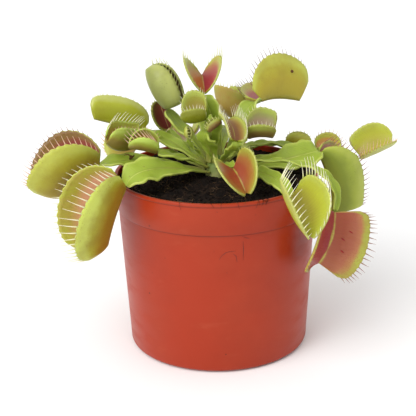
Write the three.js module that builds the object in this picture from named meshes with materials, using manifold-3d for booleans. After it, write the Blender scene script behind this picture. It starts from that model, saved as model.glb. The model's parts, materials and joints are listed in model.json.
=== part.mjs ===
// Potted Venus flytrap: a nine centimetre nursery pot filled with peat, a short crown
// in the middle of the peat, and a rosette of leaves. Each leaf is a thin waved blade
// that ends in a trap: two toothed lobes joined along a midrib.
// Millimetres, +Z up. The origin is the middle of the pot's flat underside.

import * as THREE from 'three';
import { mergeVertices } from 'three/addons/utils/BufferGeometryUtils.js';
import Module from 'manifold-3d';

const wasm = await Module();
wasm.setup();

// pot
const potHeight = 78.5;
const rimRadius = 45;
const bandHeight = 14.3; // the thicker collar under the rim
const bandStep = 0.7; // how far the collar stands out from the wall below it
const lipHeight = 1.5; // the fine line under the top of the rim
const lipStep = 0.35;
const baseRadius = 39.9;
const wall = 1.3;
const floorThickness = 2.8;
const baseRound = 1.6;
const channelWidth = 13; // shallow drain channels across the underside
const channelDepth = 1.4;
const channelStart = 17;
const channelTurns = [20, 110, 200, 290];
const drainRadius = 3;
const drainDistance = 29;
const potSegments = 48;

// peat
const gap = 0.3; // clearance between pieces that touch in the real plant
const peatEdge = 76; // height of the peat at the wall
const peatRise = 1.6; // how much higher it is round the crown
const peatLump = 0.55;
const holeRadius = 6.2;
const holeFloor = 66;
const peatSegments = 36;
const peatRings = 5;

// crown and the three tiers of leaf bases on it
const crownProfile = [
  [0, 66.4], [4.4, 66.4], [5.4, 69], [5, 75], [4.4, 79], [3.8, 82.6], [2.4, 85], [0, 85.8],
];
const tierHeights = [78.9, 81.1, 83.4];
const baseWidth = 2.4;
const baseThickness = 1.5;

// blades
const edgeThickness = 0.8;
const gutter = 0.16; // how far the edges rise above the middle, as a share of the width
const neckWidth = 2;
const widestAt = 0.68; // of the way along
const neckSharpness = 2.2; // how suddenly the blade narrows to its neck
const bladeStep = 4.2; // length of one station of a blade
const leastSteps = 7;
const usualLift = 0.4;
const usualDroop = 0.25;
const tipThickness = 1.1; // in the middle of the blade where it meets the trap
const serration = 0.07;
const waveHeight = 0.7;
const waveStep = 2.3; // turn of the wave from one station to the next
const waveShift = 1.9; // and from one edge to the other

// traps
const lobeThickness = 0.8;
const lobeRows = 3;
const usualColumns = 8;
const toothShare = 0.4; // width of a tooth as a share of its pitch
const toothTaper = 0.45; // how much shorter the teeth get towards both ends
const toothLean = 0.35; // how far the teeth lean over the mouth
const shutLean = 1.05; // and on a trap that has shut
const shutFold = 110; // a trap whose edges turn in further than this has shut
const toothFan = 0.55; // how far the teeth spread towards both ends
const hingeGap = 1.1; // from the end of a blade to the midrib of its trap
const cornerCut = 0.25; // how much the corners of a lobe are rounded off
const cornerReach = 12; // and how close to the corner: higher is closer
const belly = 0.07; // how far a lobe swells outwards, as a share of its depth
const shortestTooth = 0.5;

const leafGreen = 0x93b440;
const olive = 0xa9a63a;
const lime = 0xb6c548;
const rust = 0xa8553c;
const potRed = 0xb5442c;
const peatBrown = 0x17100c;
const crownGreen = 0x7d9440;

// One entry for each leaf, going round from the left of the photographed side.
//   around, tier, rise: where the blade leaves the crown, and how steeply (degrees)
//   end: where the blade ends and the trap begins
//   width, tilt: the blade at its widest, and how far it leans to one side (degrees)
//   along, mouth: the way the midrib runs, and the way the trap opens
//   length, depth: of the midrib, and of a lobe from the midrib to its teeth
//   flare: how much longer than the midrib the toothed edge is
//   ends: depth of the lobes' flat ends, at the blade and at the tip, as a share
//   fold: slope of a lobe at the midrib and at the edge, 90 being straight up
//   arch: how far the ends of the midrib bend down
//   teeth, tooth, farTooth: how many on a lobe, their length, and that of the other lobe's
//   bias: how much longer the teeth are at the blade than at the tip
//   aim, farAim: a way that the teeth of a lobe, or of the other lobe, bend towards
//   lift, droop: how long the blade keeps its first and last direction, as shares of its span
//   columns: stations along a lobe, where not the usual number
const leaves = [
  { name: 'upper_left', around: 179, tier: 1, rise: 40, end: [-32, 12, 93.9], width: 8.5, tilt: -35,
    along: [-0.9, -0.3, 0.33], mouth: [0.15, 0.49, 0.86], length: 22.5, depth: 12.4, flare: 1.21,
    ends: [0.39, 0.65], fold: [70, 100], arch: -0.1, teeth: 14, tooth: 1.4, colour: lime },
  { name: 'far_left', around: 192, tier: 0, rise: 14, end: [-50.2, -10, 84.5], width: 8, tilt: -30,
    droop: 0.18, along: [-0.79, -0.09, -0.61], mouth: [-0.61, 0, 0.79], length: 20.9, depth: 25.4,
    flare: 1.5, ends: [0.33, 0.72], fold: [31, 74], arch: 1.4, teeth: 15, tooth: 4.6, farTooth: 2.6,
    colour: olive },
  { name: 'low_left', around: 226, tier: 0, rise: 20, end: [-37.4, -30, 82], width: 14, tilt: -26,
    along: [-0.33, -0.07, -0.94], mouth: [-0.85, -0.42, 0.32], length: 25.8, depth: 24.8,
    flare: 1.46, ends: [0.45, 0.57], fold: [42, 77], arch: 0.7, teeth: 15, tooth: 9, farTooth: 4,
    colour: lime },
  { name: 'inner_left', around: 158, tier: 0, rise: 26, end: [-34.1, 1, 89.8], width: 5,
    along: [-0.68, -0.67, 0.3], mouth: [0.37, 0.04, 0.93], length: 17.7, depth: 12.9, flare: 1,
    ends: [0.78, 0.44], fold: [49, 96], arch: -2.8, teeth: 10, tooth: 1, farTooth: 5,
    farAim: [0.5, 0, 0.5], columns: 6, colour: lime },
  { name: 'small_left', around: 213, tier: 1, rise: 35, end: [-24.8, -13, 90.8], width: 5,
    along: [-0.97, -0.1, 0.24], mouth: [0.26, -0.26, 0.93], length: 11.4, depth: 9.5, flare: 1.07,
    ends: [0.55, 0.25], fold: [45, 91], arch: 0.2, teeth: 8, tooth: 5, farTooth: 1.5,
    aim: [-1.6, 0, 0.6], columns: 6, colour: olive },
  { name: 'closed_top', around: 156, tier: 2, rise: 60, end: [-21.5, 9, 103.9], width: 8.5,
    along: [-0.43, 0.13, 0.89], mouth: [0.77, -0.46, 0.44], length: 18.4, depth: 17, flare: 1.08,
    ends: [0.6, 0.3], fold: [18, 149], arch: -1.5, teeth: 11, tooth: 4, bias: -0.6,
    aim: [-0.8, 0, 0.8], farAim: [-0.8, 0, 0.8], colour: lime },
  { name: 'dark_small', around: 147, tier: 1, rise: 35, end: [-21, 20.5, 91.5], width: 5,
    along: [-0.31, 0.32, 0.89], mouth: [-0.13, -0.95, 0.29], length: 12, depth: 8, flare: 1.15,
    ends: [0.3, 0.3], fold: [35, 82], arch: 0.5, teeth: 7, tooth: 3, columns: 6, colour: rust },
  { name: 'upright', around: 74, tier: 2, rise: 80, lift: 0.5, end: [-4.5, 4, 111.5], width: 8.5,
    along: [-0.1, 0.88, 0.46], mouth: [0, -0.46, 0.88], length: 12, depth: 15.5, flare: 1.2,
    ends: [0.45, 0.35], fold: [50, 68], arch: 1, teeth: 9, tooth: 5.5, columns: 6, colour: lime },
  { name: 'top_right', around: 30, tier: 2, rise: 60, end: [19.6, 9, 107.3], width: 8.5, tilt: 45,
    droop: 0.27, along: [0.84, 0.52, -0.13], mouth: [-0.3, 0.67, 0.68], length: 20.3, depth: 19.8,
    flare: 1.49, ends: [0.35, 0.57], fold: [44, 68], arch: 1.5, teeth: 15, tooth: 4.5,
    farTooth: 4.5, bias: 0.35, colour: olive },
  { name: 'back_middle', around: 112, tier: 1, rise: 60, end: [2.9, 36.5, 95.4], width: 11,
    droop: 0.3, along: [0.76, -0.65, -0.08], mouth: [0.21, 0.13, 0.97], length: 10.5, depth: 15.7,
    flare: 1.75, ends: [0.8, 0.65], fold: [42, 85], arch: -1.2, teeth: 10, tooth: 2.6, columns: 6,
    colour: rust },
  { name: 'middle_left', around: 226, tier: 2, rise: 78, end: [-3.3, -7, 104], width: 9, tilt: 25,
    along: [-0.98, 0.07, -0.16], mouth: [-0.17, -0.24, 0.95], length: 8.2, depth: 13.9, flare: 1.32,
    ends: [0.67, 0.4], fold: [34, 73], arch: -0.5, teeth: 9, tooth: 2.2, columns: 6, colour: lime },
  { name: 'middle', around: 300, tier: 2, rise: 60, end: [8.1, -21, 97.4], width: 6,
    along: [-0.3, 0.83, 0.47], mouth: [0.49, -0.29, 0.82], length: 13, depth: 6.4, flare: 1.11,
    ends: [0.73, 0.69], fold: [11, 48], arch: 1.8, teeth: 12, tooth: 4, farTooth: 4.5, bias: -0.5,
    farAim: [-0.8, 0, 0.7], columns: 6, colour: lime },
  { name: 'front', around: 280, tier: 1, rise: 25, end: [6.6, -22, 86.8], width: 5,
    along: [0.35, -0.82, -0.46], mouth: [-0.12, -0.52, 0.84], length: 14.3, depth: 13.1,
    flare: 1.38, ends: [0.67, 0.21], fold: [37, 68], arch: 2.5, teeth: 12, tooth: 2.2, bias: 0.5,
    colour: lime },
  { name: 'middle_right', around: 335, tier: 2, rise: 46, end: [13.6, -4, 94.2], width: 7, tilt: 40,
    along: [0.95, -0.1, 0.05], mouth: [0.05, -0.2, 0.98], length: 9.6, depth: 13, flare: 1.45,
    ends: [0.35, 0.85], fold: [30, 68], arch: 1, teeth: 9, tooth: 2, columns: 6, colour: olive },
  { name: 'front_right', around: 312, tier: 0, rise: 25, end: [29.8, -38, 79.6], width: 7, tilt: 30,
    along: [0.3, -0.79, -0.54], mouth: [0.2, -0.5, 0.84], length: 20, depth: 17, flare: 1.3,
    ends: [0.6, 0.15], fold: [42, 76], arch: 1, teeth: 13, tooth: 7, farTooth: 7, bias: 0.55,
    aim: [-0.2, 0, 1.2], farAim: [0.7, 0, 1], colour: lime },
  { name: 'right', around: 345, tier: 1, rise: 0, lift: 0.5, end: [44.8, 0, 86.3], width: 15,
    tilt: 34, droop: 0.04, along: [0.22, 0.27, -0.94], mouth: [0.8, 0.5, 0.33], length: 32,
    depth: 16.4, flare: 1.13, ends: [0.26, 0.87], fold: [44, 88], arch: 1.8, teeth: 15, tooth: 4.8,
    farTooth: 4.8, colour: lime },
  { name: 'low_right', around: 313, tier: 1, rise: 24, lift: 0.65, end: [50.5, -20, 66.4], width: 4,
    droop: 0.42, along: [-0.3, -0.17, -0.94], mouth: [0.49, -0.87, 0], length: 23, depth: 16.1,
    flare: 1.3, ends: [0.87, 0.82], fold: [18, 48], arch: 3.3, teeth: 14, tooth: 4.6, farTooth: 1.2,
    colour: rust },
  { name: 'far_right', around: 18, tier: 0, rise: 22, end: [66, 29, 74.6], width: 5, droop: 0.06,
    along: [0.917, 0.13, 0.37], mouth: [-0.26, -0.44, 0.86], length: 16, depth: 12, flare: 1.2,
    ends: [0.75, 0.35], fold: [22, 62], arch: 0.9, teeth: 12, tooth: 0.6, farTooth: 4.5, bias: 0.7,
    farAim: [0.4, 0, 0.9], colour: lime },
  { name: 'small_right', around: 47, tier: 1, rise: 36, end: [45.3, 26, 79.9], width: 4.5,
    along: [0.99, 0.07, -0.09], mouth: [0.11, -0.44, 0.89], length: 10.3, depth: 7.5, flare: 1.2,
    ends: [0.54, 0.26], fold: [21, 76], arch: 0.8, teeth: 8, tooth: 3.4, columns: 6, colour: lime },
  { name: 'closed_right', around: 58, tier: 0, rise: 30, end: [32, 32, 80.2], width: 5,
    along: [0.98, -0.2, -0.04], mouth: [0.03, -0.02, 1], length: 10.3, depth: 8.1, flare: 1.1,
    ends: [0.38, 0.38], fold: [20, 148], arch: 0, teeth: 7, tooth: 1.6, columns: 6, colour: olive },
  { name: 'back_right', around: 80, tier: 1, rise: 30, end: [8, 46, 84], width: 7,
    along: [0.2, 0.8, -0.5], mouth: [0.1, 0.5, 0.86], length: 16, depth: 14, flare: 1.3,
    ends: [0.45, 0.45], fold: [35, 75], arch: 1, teeth: 10, tooth: 4, colour: lime },
  { name: 'back', around: 92, tier: 0, rise: 18, end: [-12, 44, 81], width: 9,
    along: [-0.25, 0.78, -0.55], mouth: [-0.1, 0.55, 0.83], length: 20, depth: 17, flare: 1.35,
    ends: [0.5, 0.45], fold: [38, 78], arch: 1, teeth: 12, tooth: 5, colour: lime },
  { name: 'back_left', around: 124, tier: 0, rise: 20, end: [-34, 40, 81], width: 8,
    along: [-0.45, 0.5, -0.72], mouth: [-0.55, 0.5, 0.66], length: 18, depth: 15, flare: 1.3,
    ends: [0.45, 0.45], fold: [35, 70], arch: 1, teeth: 10, tooth: 4, colour: olive },
  { name: 'centre', around: 266, tier: 2, rise: 72, end: [-3.5, -13, 99.5], width: 9, tilt: 0,
    along: [0.8, 0.1, 0.6], mouth: [-0.3, -0.2, 0.9], length: 6, depth: 4.5, flare: 1.15,
    ends: [0.4, 0.35], fold: [15, 140], arch: 0, teeth: 5, tooth: 1.6, columns: 4, colour: lime },
  { name: 'bud', around: 192, tier: 2, rise: 62, end: [-11.7, -6, 94.8], width: 1.8,
    along: [-0.07, 0, 1], mouth: [0.2, -0.97, 0], length: 4.5, depth: 4, flare: 1.1,
    ends: [0.4, 0.3], fold: [10, 145], arch: 0, teeth: 4, tooth: 1.2, columns: 4, colour: lime },
];

const rad = THREE.MathUtils.degToRad;
const vector = (list) => new THREE.Vector3(...list);

function solidFrom(geometry) {
  // a closed solid for joining and cutting: positions only, shared corners merged
  const bare = geometry.clone();
  bare.deleteAttribute('normal');
  bare.deleteAttribute('uv');
  const merged = mergeVertices(bare, 1e-4);
  return new wasm.Manifold(new wasm.Mesh({
    numProp: 3,
    vertProperties: Float32Array.from(merged.attributes.position.array),
    triVerts: Uint32Array.from(merged.index.array),
  }));
}

function geometryFrom(solid) {
  const mesh = solid.getMesh();
  return indexedGeometry(Array.from(mesh.vertProperties), Array.from(mesh.triVerts));
}

function indexedGeometry(positions, triangles) {
  const geometry = new THREE.BufferGeometry();
  geometry.setAttribute('position', new THREE.Float32BufferAttribute(positions, 3));
  geometry.setIndex(triangles);
  geometry.computeVertexNormals();
  return geometry;
}

function lathe(profile, segments) {
  const points = profile.map(([radius, height]) => new THREE.Vector2(radius, height));
  return new THREE.LatheGeometry(points, segments).rotateX(Math.PI / 2);
}

function addPiece(parent, name, geometry, colour, roughness) {
  const material = new THREE.MeshStandardMaterial({ color: colour, roughness, metalness: 0 });
  const mesh = new THREE.Mesh(geometry, material);
  mesh.name = name;
  parent.add(mesh);
}

// ---- pot -----------------------------------------------------------------

function wallRadius(height) {
  // outside of the tapered wall below the collar
  const top = potHeight - bandHeight;
  return THREE.MathUtils.lerp(baseRadius, rimRadius - 2 * bandStep, height / top);
}

function potInside() {
  // the hollow's outline from under the lip down to the edge of the floor
  const bandFoot = potHeight - bandHeight;
  const floorEdge = wallRadius(floorThickness) - wall;
  return [
    [rimRadius - wall - lipStep, potHeight - lipHeight],
    [wallRadius(bandFoot) - wall, bandFoot - 1],
    [floorEdge - 0.8, floorThickness + 0.8],
    [floorEdge - 1.6, floorThickness],
  ];
}

function potGeometry() {
  const bandFoot = potHeight - bandHeight;
  const lipFoot = potHeight - lipHeight;
  const outside = [
    [0, 0],
    [baseRadius - baseRound, 0],
    [baseRadius - 0.3 * baseRound, 0.3 * baseRound],
    [wallRadius(baseRound), baseRound],
    [wallRadius(bandFoot), bandFoot],
    [rimRadius - bandStep, bandFoot + 0.5],
    [rimRadius - lipStep, lipFoot],
    [rimRadius, lipFoot + 0.3],
    [rimRadius, potHeight - 0.4],
    [rimRadius - 0.4, potHeight],
  ];
  const inside = [[rimRadius - wall - 0.3, potHeight], ...potInside(), [0, floorThickness]];
  let pot = solidFrom(lathe([...outside, ...inside], potSegments));
  for (const turn of channelTurns) {
    pot = pot.subtract(solidFrom(channelCutter(turn)));
    pot = pot.subtract(solidFrom(drainCutter(turn)));
  }
  return geometryFrom(pot);
}

function channelCutter(turn) {
  const reach = baseRadius + 2 - channelStart;
  return new THREE.BoxGeometry(reach, channelWidth, 2 * channelDepth)
    .translate(channelStart + reach / 2, 0, 0)
    .rotateZ(rad(turn));
}

function drainCutter(turn) {
  return new THREE.CylinderGeometry(drainRadius, drainRadius, 4 * floorThickness, 16)
    .rotateX(Math.PI / 2)
    .translate(drainDistance, 0, 0)
    .rotateZ(rad(turn));
}

// ---- peat ----------------------------------------------------------------

function peatHeight(x, y) {
  const radius = Math.hypot(x, y);
  const mound = peatRise * Math.max(0, 1 - radius / rimRadius);
  const edge = Math.min(1, (rimRadius - wall - radius) / 6);
  const lumps = Math.sin(0.31 * x + 1) * Math.cos(0.27 * y) + 0.6 * Math.sin(0.55 * x - 0.47 * y);
  return peatEdge + mound + peatLump * lumps * edge;
}

function peatGeometry() {
  // a filled cup: lumpy top, plain hole in the middle for the crown
  const positions = [];
  const triangles = [];
  const ring = (radius, height) => {
    const first = positions.length / 3;
    for (let i = 0; i < peatSegments; i += 1) {
      const turn = 2 * Math.PI * i / peatSegments;
      const x = radius * Math.cos(turn);
      const y = radius * Math.sin(turn);
      positions.push(x, y, height ?? peatHeight(x, y));
    }
    return first;
  };
  const floor = floorThickness + gap;
  const [lip, collar, corner, foot] = potInside()
    .map(([radius, height]) => [radius - 1.5 * gap, height]);
  const topRadius = lip[0];
  const rings = [
    ring(foot[0], floor), ring(corner[0], corner[1] + gap), ring(...collar), ring(topRadius),
  ];
  for (let i = 1; i <= peatRings; i += 1) {
    rings.push(ring(THREE.MathUtils.lerp(topRadius, holeRadius, i / peatRings)));
  }
  rings.push(ring(holeRadius, holeFloor));
  for (let k = 0; k + 1 < rings.length; k += 1) {
    for (let i = 0; i < peatSegments; i += 1) {
      const j = (i + 1) % peatSegments;
      const [a, b, c, d] = [rings[k] + i, rings[k] + j, rings[k + 1] + j, rings[k + 1] + i];
      triangles.push(a, b, c, a, c, d);
    }
  }
  closeRing(positions, triangles, rings[0], floor, true);
  closeRing(positions, triangles, rings[rings.length - 1], holeFloor, false);
  return indexedGeometry(positions, triangles);
}

function closeRing(positions, triangles, first, height, facesDown) {
  const centre = positions.length / 3;
  positions.push(0, 0, height);
  for (let i = 0; i < peatSegments; i += 1) {
    const a = first + i;
    const b = first + (i + 1) % peatSegments;
    triangles.push(...(facesDown ? [centre, b, a] : [centre, a, b]));
  }
}

// ---- leaves --------------------------------------------------------------

function crownRadius(height) {
  const above = crownProfile.findIndex(([, z]) => z >= height);
  const [r0, z0] = crownProfile[above - 1];
  const [r1, z1] = crownProfile[above];
  return THREE.MathUtils.lerp(r0, r1, (height - z0) / (z1 - z0));
}

function trapFrame(leaf) {
  // unit vectors: along the midrib, across the lobes, out of the mouth
  const along = vector(leaf.along).normalize();
  const across = vector(leaf.mouth).cross(along).normalize();
  const up = along.clone().cross(across);
  return { along, across, up };
}

function bladePath(leaf) {
  const around = rad(leaf.around);
  const rise = rad(leaf.rise);
  const height = tierHeights[leaf.tier];
  const radius = crownRadius(height) + 1.5 * gap + 0.5 * baseThickness * Math.sin(rise);
  const outward = new THREE.Vector3(Math.cos(around), Math.sin(around), 0);
  const start = outward.clone().multiplyScalar(radius).setZ(height);
  const end = vector(leaf.end);
  const span = start.distanceTo(end);
  const first = outward.clone().multiplyScalar(Math.cos(rise)).setZ(Math.sin(rise));
  const leave = start.clone().addScaledVector(first, (leaf.lift ?? usualLift) * span);
  const arrive = end.clone().addScaledVector(trapFrame(leaf).along, -(leaf.droop ?? usualDroop) * span);
  return new THREE.CubicBezierCurve3(start, leave, arrive, end);
}

function bladeHalfWidth(leaf, t) {
  if (t < widestAt) {
    const swell = THREE.MathUtils.smoothstep(t / widestAt, 0.05, 1);
    const base = Math.min(baseWidth, leaf.width);
    return THREE.MathUtils.lerp(base, leaf.width, swell) / 2;
  }
  const fall = (t - widestAt) / (1 - widestAt);
  const neck = Math.min(neckWidth, leaf.width);
  return THREE.MathUtils.lerp(neck, leaf.width, Math.sqrt(1 - fall ** neckSharpness)) / 2;
}

function bladeGeometry(leaf) {
  const path = bladePath(leaf);
  const steps = Math.max(leastSteps, Math.round(path.getLength() / bladeStep));
  const around = rad(leaf.around);
  const baseAcross = new THREE.Vector3(-Math.sin(around), Math.cos(around), 0);
  const endAcross = trapFrame(leaf).across;
  if (endAcross.dot(baseAcross) < 0) endAcross.negate();
  const positions = [];
  const triangles = [];
  for (let i = 0; i <= steps; i += 1) {
    const t = i / steps;
    const middle = path.getPoint(t);
    const tangent = path.getTangent(t);
    const across = baseAcross.clone().lerp(endAcross, t * t);
    across.addScaledVector(tangent, -across.dot(tangent)).normalize();
    across.applyAxisAngle(tangent, rad(leaf.tilt ?? 0) * Math.sin(Math.PI * t));
    const up = tangent.clone().cross(across).normalize();
    const ragged = i % 2 ? 1 + serration : 1 - serration;
    const half = bladeHalfWidth(leaf, t) * (i > 1 && i < steps - 1 ? ragged : 1);
    const thick = THREE.MathUtils.lerp(baseThickness, tipThickness, t) / 2;
    const thin = edgeThickness / 2;
    const swing = waveHeight * Math.sin(Math.PI * t);
    const raise = gutter * half;
    const left = raise + swing * Math.sin(waveStep * i);
    const right = raise + swing * Math.sin(waveStep * i + waveShift);
    const section = [[-half, left + thin], [0, thick], [half, right + thin],
      [half, right - thin], [0, -thick], [-half, left - thin]];
    for (const [sideways, upwards] of section) {
      const p = middle.clone().addScaledVector(across, sideways).addScaledVector(up, upwards);
      positions.push(p.x, p.y, p.z);
    }
  }
  const corners = 6; // of one cross-section
  for (let i = 0; i < steps; i += 1) {
    for (let k = 0; k < corners; k += 1) {
      const a = i * corners + k;
      const b = i * corners + (k + 1) % corners;
      triangles.push(a, b + corners, b, a, a + corners, b + corners);
    }
  }
  const last = steps * corners;
  triangles.push(0, 1, 5, 1, 4, 5, 1, 2, 4, 2, 3, 4);
  triangles.push(...[0, 5, 1, 1, 5, 4, 1, 4, 2, 2, 4, 3].map((k) => last + k));
  return indexedGeometry(positions, triangles);
}

function lobePoint(leaf, side, t, r) {
  // t runs from -1 at the blade to 1 at the tip, r from 0 on the midrib to 1 at the teeth
  const along = Math.sin(t * Math.PI / 2);
  const flat = THREE.MathUtils.lerp(leaf.ends[0], leaf.ends[1], (along + 1) / 2);
  const corner = 1 - cornerCut * t ** cornerReach;
  const depth = leaf.depth * (flat * corner + (1 - flat) * Math.cos(t * Math.PI / 2));
  const first = rad(leaf.fold[0]);
  const turn = rad(leaf.fold[1]) - first;
  const slope = first + turn * r;
  const swell = belly * depth * Math.sin(Math.PI * r) * Math.cos(t * Math.PI / 2);
  const x = along * leaf.length / 2 * (1 + (leaf.flare - 1) * r);
  const y = depth * (Math.sin(slope) - Math.sin(first)) / turn + swell * Math.sin(slope);
  const z = depth * (Math.cos(first) - Math.cos(slope)) / turn - swell * Math.cos(slope);
  return new THREE.Vector3(x, side * y, z - leaf.arch * along * along);
}

function toothTip(leaf, side, t) {
  const longest = side < 0 ? leaf.farTooth ?? leaf.tooth : leaf.tooth;
  const length = longest * (1 - toothTaper * t * t) * (1 - (leaf.bias ?? 0) * t);
  const aim = vector((side < 0 ? leaf.farAim : leaf.aim) ?? [0, 0, 0]);
  const { along, across, up } = trapFrame(leaf);
  const root = lobePoint(leaf, side, t, 1);
  const slope = rad(leaf.fold[1]);
  const reach = new THREE.Vector3(
    toothFan * Math.sin(t * Math.PI / 2),
    side * Math.cos(slope),
    Math.sin(slope) + (leaf.fold[1] > shutFold ? shutLean : toothLean),
  );
  reach.normalize().add(new THREE.Vector3(aim.dot(along), aim.dot(across), aim.dot(up)));
  return root.addScaledVector(reach.normalize(), Math.max(shortestTooth, length));
}

function trapSheet(leaf) {
  // the middle of the two lobes as rows from one toothed edge to the other
  const columns = leaf.columns ?? usualColumns;
  const even = Array.from({ length: columns + 1 }, (_, i) => -1 + 2 * i / columns);
  const toothed = [-1];
  for (let k = 0; k < leaf.teeth; k += 1) {
    const middle = -1 + 2 * (k + 0.5) / leaf.teeth;
    toothed.push(middle - toothShare / leaf.teeth, middle + toothShare / leaf.teeth);
  }
  toothed.push(1);
  const rows = [];
  for (let k = -lobeRows; k <= lobeRows; k += 1) {
    const atEdge = Math.abs(k) === lobeRows;
    rows.push({ side: Math.sign(k), r: Math.abs(k) / lobeRows, stops: atEdge ? toothed : even });
  }
  return rows;
}

function joinRows(rows, triangles) {
  // triangles between neighbouring rows whose stops need not match
  for (let k = 0; k + 1 < rows.length; k += 1) {
    const [low, high] = [rows[k], rows[k + 1]];
    let [i, j] = [0, 0];
    while (i + 1 < low.stops.length || j + 1 < high.stops.length) {
      const lowNext = i + 1 < low.stops.length ? low.stops[i] + low.stops[i + 1] : Infinity;
      const highNext = j + 1 < high.stops.length ? high.stops[j] + high.stops[j + 1] : Infinity;
      if (lowNext < highNext) {
        triangles.push([low.first + i, low.first + i + 1, high.first + j]);
        i += 1;
      } else {
        triangles.push([low.first + i, high.first + j + 1, high.first + j]);
        j += 1;
      }
    }
  }
}

function trapGeometry(leaf) {
  const rows = trapSheet(leaf);
  const middle = [];
  for (const row of rows) {
    row.first = middle.length;
    for (const t of row.stops) middle.push(lobePoint(leaf, row.side, t, row.r));
  }
  const sheet = [];
  joinRows(rows, sheet);
  const normals = middle.map(() => new THREE.Vector3());
  for (const [a, b, c] of sheet) {
    const face = middle[b].clone().sub(middle[a]).cross(middle[c].clone().sub(middle[a]));
    for (const k of [a, b, c]) normals[k].add(face);
  }
  const half = lobeThickness / 2;
  const inner = middle.map((p, k) => p.clone().addScaledVector(normals[k].normalize(), half));
  const outer = middle.map((p, k) => p.clone().addScaledVector(normals[k], -half));
  const count = middle.length;
  const points = [...inner, ...outer];
  const triangles = sheet.flatMap(([a, b, c]) => [a, b, c, count + a, count + c, count + b]);
  const closeEdge = (a, b) => triangles.push(a, count + a, count + b, a, count + b, b);
  const addTooth = (a, b, tip) => {
    const corners = [a, count + a, count + b, b];
    points.push(tip);
    corners.forEach((corner, k) => {
      triangles.push(corner, corners[(k + 1) % 4], points.length - 1);
    });
  };
  for (const [row, forwards] of [[rows[0], true], [rows[rows.length - 1], false]]) {
    for (let i = 0; i + 1 < row.stops.length; i += 1) {
      const [a, b] = forwards ? [row.first + i, row.first + i + 1] : [row.first + i + 1, row.first + i];
      if (i % 2) {
        const t = (row.stops[i] + row.stops[i + 1]) / 2;
        addTooth(a, b, toothTip(leaf, row.side, t));
      } else closeEdge(a, b);
    }
  }
  for (let k = 0; k + 1 < rows.length; k += 1) {
    const [low, high] = [rows[k], rows[k + 1]];
    closeEdge(high.first, low.first);
    closeEdge(low.first + low.stops.length - 1, high.first + high.stops.length - 1);
  }
  const { along, across, up } = trapFrame(leaf);
  const hinge = vector(leaf.end)
    .addScaledVector(along, hingeGap + leaf.length / 2)
    .addScaledVector(up, leaf.arch);
  const place = new THREE.Matrix4().makeBasis(along, across, up).setPosition(hinge);
  const positions = points.flatMap((p) => p.applyMatrix4(place).toArray());
  return indexedGeometry(positions, triangles);
}

// ---- the whole plant -------------------------------------------------------

const plant = new THREE.Group();
addPiece(plant, 'pot', potGeometry(), potRed, 0.5);
addPiece(plant, 'peat', peatGeometry(), peatBrown, 0.95);
addPiece(plant, 'crown', lathe(crownProfile, 16), crownGreen, 0.6);
for (const leaf of leaves) {
  addPiece(plant, `${leaf.name}_blade`, bladeGeometry(leaf), leafGreen, 0.5);
  addPiece(plant, `${leaf.name}_trap`, trapGeometry(leaf), leaf.colour, 0.45);
}

export default plant;
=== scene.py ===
import json
import math
import random

import bmesh
import bpy
from mathutils import Matrix, Quaternion, Vector, noise


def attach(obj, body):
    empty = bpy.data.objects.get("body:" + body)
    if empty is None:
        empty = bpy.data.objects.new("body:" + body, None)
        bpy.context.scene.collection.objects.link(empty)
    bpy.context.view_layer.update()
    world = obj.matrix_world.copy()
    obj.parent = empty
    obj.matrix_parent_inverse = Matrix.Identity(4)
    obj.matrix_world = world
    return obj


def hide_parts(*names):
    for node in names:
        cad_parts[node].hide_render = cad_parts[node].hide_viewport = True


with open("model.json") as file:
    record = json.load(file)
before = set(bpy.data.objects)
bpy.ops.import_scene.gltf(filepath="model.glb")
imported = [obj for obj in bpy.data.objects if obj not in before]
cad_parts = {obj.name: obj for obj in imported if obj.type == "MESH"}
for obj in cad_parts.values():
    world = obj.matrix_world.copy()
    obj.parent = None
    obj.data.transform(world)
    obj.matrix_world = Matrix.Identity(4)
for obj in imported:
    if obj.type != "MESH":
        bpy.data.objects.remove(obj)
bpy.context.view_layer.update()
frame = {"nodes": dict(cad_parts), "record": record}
print("frame loaded:", len(frame["nodes"]), "nodes")

mm = 0.001  # shapes are worked out in millimetres, like the part's source


# small helpers for pieces

def makePiece(name, bm, materials, node):
    bmesh.ops.scale(bm, vec=(mm, mm, mm), verts=bm.verts)
    mesh = bpy.data.meshes.new(name)
    bm.to_mesh(mesh)
    bm.free()
    for material in materials:
        mesh.materials.append(material)
    mesh.polygons.foreach_set("use_smooth", [True] * len(mesh.polygons))
    piece = bpy.data.objects.new(name, mesh)
    bpy.context.scene.collection.objects.link(piece)
    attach(piece, "root")
    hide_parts(node)
    return piece


def addWall(piece, thickness):
    # gives a sheet its thickness, half of it to each side
    wall = piece.modifiers.new("thickness", "SOLIDIFY")
    wall.thickness = thickness * mm
    wall.offset = 0
    return wall


def turnProfile(profile, steps):
    # a body turned around the axis from an outline of (radius, height)
    bm = bmesh.new()
    verts = [bm.verts.new((radius, 0, height)) for radius, height in profile]
    edges = [bm.edges.new(pair) for pair in zip(verts, verts[1:])]
    bmesh.ops.spin(bm, geom=verts + edges, axis=(0, 0, 1), cent=(0, 0, 0), angle=2 * math.pi,
                   steps=steps, use_merge=True)
    bmesh.ops.remove_doubles(bm, verts=bm.verts, dist=0.005)
    bmesh.ops.recalc_face_normals(bm, faces=bm.faces)
    return bm


def makeGrid(columns, rows):
    # a flat sheet from -1 to 1 both ways, with its own UV map
    bm = bmesh.new()
    uvLayer = bm.loops.layers.uv.new("sheet")
    bmesh.ops.create_grid(bm, x_segments=columns, y_segments=rows, size=1)
    for face in bm.faces:
        for loop in face.loops:
            loop[uvLayer].uv = (loop.vert.co.x / 2 + 0.5, loop.vert.co.y / 2 + 0.5)
    return bm


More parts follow.
